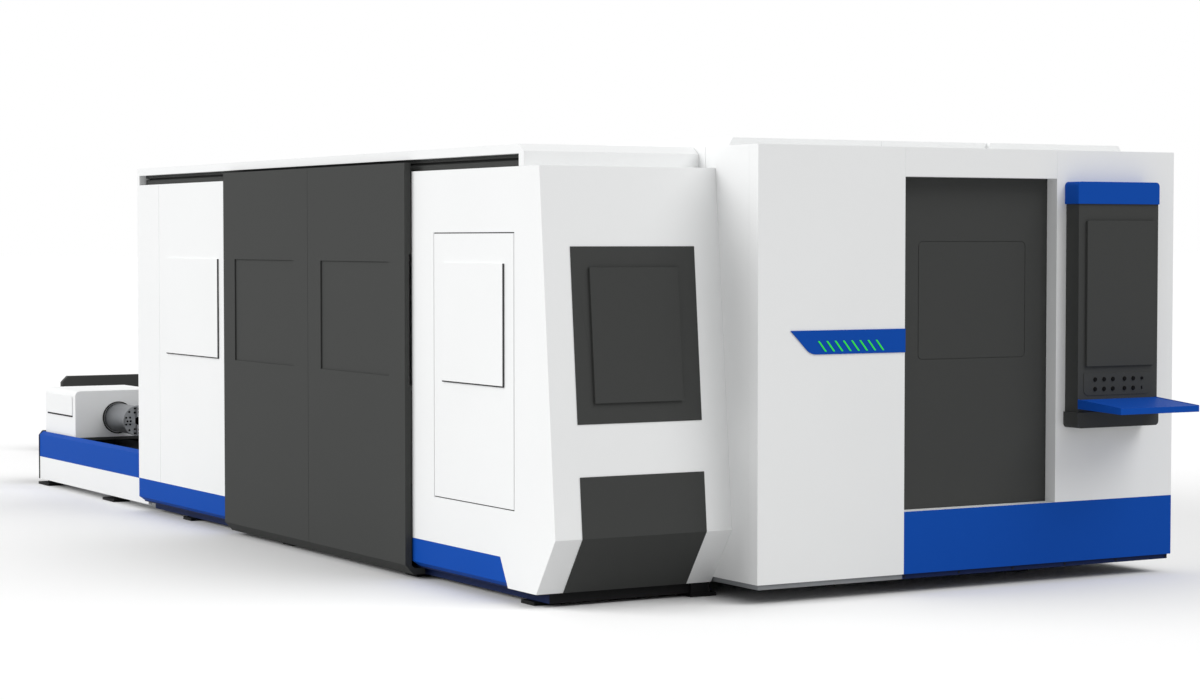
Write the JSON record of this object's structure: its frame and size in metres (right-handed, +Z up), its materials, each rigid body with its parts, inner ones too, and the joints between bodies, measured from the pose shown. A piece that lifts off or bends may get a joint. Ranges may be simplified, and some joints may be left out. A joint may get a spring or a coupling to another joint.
{
  "type": "sheet and tube laser cutting machine",
  "caption": "Enclosed laser cutting machine with a sheet cabin, a side tube section with sliding doors, a tube feed bed with a chuck headstock and a rear shuttle table.",
  "frame": {"origin": "on the floor, under the middle of the whole machine's outline", "axes": "+X to the right seen from the front, +Y from the front face to the shuttle table, +Z up"},
  "size_m": [4.077, 12.54, 2.528],
  "materials": {
    "white_paint": "powder coat, satin",
    "dark_paint": "fine textured powder coat",
    "blue_paint": "powder coat, satin",
    "black_paint": "matt paint",
    "navy_paint": "matt paint",
    "grey_paint": "machine enamel",
    "bare_steel": "machined",
    "cast_aluminium": "cast and milled",
    "green_lens": "clear moulded lens",
    "button_plastic": "moulded, matt"
  },
  "bodies": {
    "machine": {"cabin_left_wall": "white_paint", "cabin_right_wall": "white_paint", "cabin_rear_wall": "white_paint", "cabin_roof": "white_paint", "roof_covers": "white_paint", "front_left_panel": "white_paint", "front_right_panel": "white_paint", "door_header": "white_paint", "nose_side_panel": "white_paint", "nose_end_panel": "white_paint", "service_panel": "white_paint", "far_side_panel": "white_paint", "tube_roof": "white_paint", "tube_end_wall": "white_paint", "tube_bed_lower_covers": "white_paint", "door_tracks": "dark_paint", "nose_hatch": "dark_paint", "nose_lower_panel": "dark_paint", "console_housing": "dark_paint", "screen_plate": "dark_paint", "button_plate": "dark_paint", "shuttle_frame": "dark_paint", "front_plinth": "blue_paint", "accent_strip": "blue_paint", "side_plinths": "blue_paint", "tube_bed_upper_covers": "blue_paint", "console_cap": "blue_paint", "keyboard_shelf": "blue_paint", "levelling_feet": "black_paint", "tube_base": "navy_paint", "sheet_bed": "grey_paint", "cabin_base_rail": "grey_paint", "tube_bed": "grey_paint", "front_chuck_housing": "grey_paint", "power_cabinet": "grey_paint", "guide_rails": "bare_steel", "accent_lights": "green_lens"},
    "front_door": {"front_door": "dark_paint"},
    "side_door_left": {"side_door_left": "dark_paint"},
    "side_door_right": {"side_door_right": "dark_paint"},
    "gantry": {"gantry_beam": "cast_aluminium"},
    "head_carriage": {"head_carriage": "dark_paint"},
    "laser_head": {"laser_head": "bare_steel"},
    "pallet": {"pallet": "grey_paint", "pallet_slats": "bare_steel"},
    "headstock": {"headstock_housing": "white_paint", "headstock_carriage": "dark_paint"},
    "rear_chuck": {"rear_chuck": "bare_steel"},
    "front_chuck": {"front_chuck": "bare_steel"},
    "key_switch": {"key_switch": "bare_steel"},
    "push_button_1": {"push_button_1": "button_plastic"},
    "push_button_2": {"push_button_2": "button_plastic"},
    "push_button_3": {"push_button_3": "button_plastic"},
    "push_button_4": {"push_button_4": "button_plastic"},
    "push_button_5": {"push_button_5": "button_plastic"},
    "push_button_6": {"push_button_6": "button_plastic"},
    "push_button_7": {"push_button_7": "button_plastic"},
    "push_button_8": {"push_button_8": "button_plastic"},
    "push_button_9": {"push_button_9": "button_plastic"},
    "push_button_10": {"push_button_10": "button_plastic"}
  },
  "joints": [
    {"name": "front_door_slide", "type": "slide", "parent": "machine", "child": "front_door", "axis": [-1, 0, 0], "range_m": [0, 0.895]},
    {"name": "side_door_left_slide", "type": "slide", "parent": "machine", "child": "side_door_left", "axis": [0, 1, 0], "range_m": [0, 1.25]},
    {"name": "side_door_right_slide", "type": "slide", "parent": "machine", "child": "side_door_right", "axis": [0, -1, 0], "range_m": [0, 1.25]},
    {"name": "gantry_feed", "type": "slide", "parent": "machine", "child": "gantry", "axis": [0, 1, 0], "range_m": [0, 3.7]},
    {"name": "head_traverse", "type": "slide", "parent": "gantry", "child": "head_carriage", "axis": [1, 0, 0], "range_m": [-1.53, 1.4]},
    {"name": "head_lift", "type": "slide", "parent": "head_carriage", "child": "laser_head", "axis": [0, 0, -1], "range_m": [-0.06, 0.328]},
    {"name": "pallet_shuttle", "type": "slide", "parent": "machine", "child": "pallet", "axis": [0, 1, 0], "range_m": [0, 5.5]},
    {"name": "headstock_feed", "type": "slide", "parent": "machine", "child": "headstock", "axis": [0, -1, 0], "range_m": [0, 5.3]},
    {"name": "rear_chuck_spin", "type": "hinge", "parent": "headstock", "child": "rear_chuck", "pos_m": [-1.5215, 2.21, 0.564], "axis": [0, 1, 0], "continuous": true},
    {"name": "front_chuck_spin", "type": "hinge", "parent": "machine", "child": "front_chuck", "pos_m": [-1.5215, -3.69, 0.564], "axis": [0, 1, 0], "continuous": true},
    {"name": "key_turn", "type": "hinge", "parent": "machine", "child": "key_switch", "pos_m": [1.7015, -5.904, 1.16606], "axis": [0, 1, 0], "range_deg": [0, 90]},
    {"name": "push_button_1_press", "type": "slide", "parent": "machine", "child": "push_button_1", "axis": [0, 1, 0], "range_m": [0, 0.004], "stiffness_N_per_m": 600},
    {"name": "push_button_2_press", "type": "slide", "parent": "machine", "child": "push_button_2", "axis": [0, 1, 0], "range_m": [0, 0.004], "stiffness_N_per_m": 600},
    {"name": "push_button_3_press", "type": "slide", "parent": "machine", "child": "push_button_3", "axis": [0, 1, 0], "range_m": [0, 0.004], "stiffness_N_per_m": 600},
    {"name": "push_button_4_press", "type": "slide", "parent": "machine", "child": "push_button_4", "axis": [0, 1, 0], "range_m": [0, 0.004], "stiffness_N_per_m": 600},
    {"name": "push_button_5_press", "type": "slide", "parent": "machine", "child": "push_button_5", "axis": [0, 1, 0], "range_m": [0, 0.004], "stiffness_N_per_m": 600},
    {"name": "push_button_6_press", "type": "slide", "parent": "machine", "child": "push_button_6", "axis": [0, 1, 0], "range_m": [0, 0.004], "stiffness_N_per_m": 600},
    {"name": "push_button_7_press", "type": "slide", "parent": "machine", "child": "push_button_7", "axis": [0, 1, 0], "range_m": [0, 0.004], "stiffness_N_per_m": 600},
    {"name": "push_button_8_press", "type": "slide", "parent": "machine", "child": "push_button_8", "axis": [0, 1, 0], "range_m": [0, 0.004], "stiffness_N_per_m": 600},
    {"name": "push_button_9_press", "type": "slide", "parent": "machine", "child": "push_button_9", "axis": [0, 1, 0], "range_m": [0, 0.004], "stiffness_N_per_m": 600},
    {"name": "push_button_10_press", "type": "slide", "parent": "machine", "child": "push_button_10", "axis": [0, 1, 0], "range_m": [0, 0.004], "stiffness_N_per_m": 600}
  ],
  "couplings": [
    {"joint": "front_chuck_spin", "follows": "rear_chuck_spin", "ratio": 1}
  ]
}
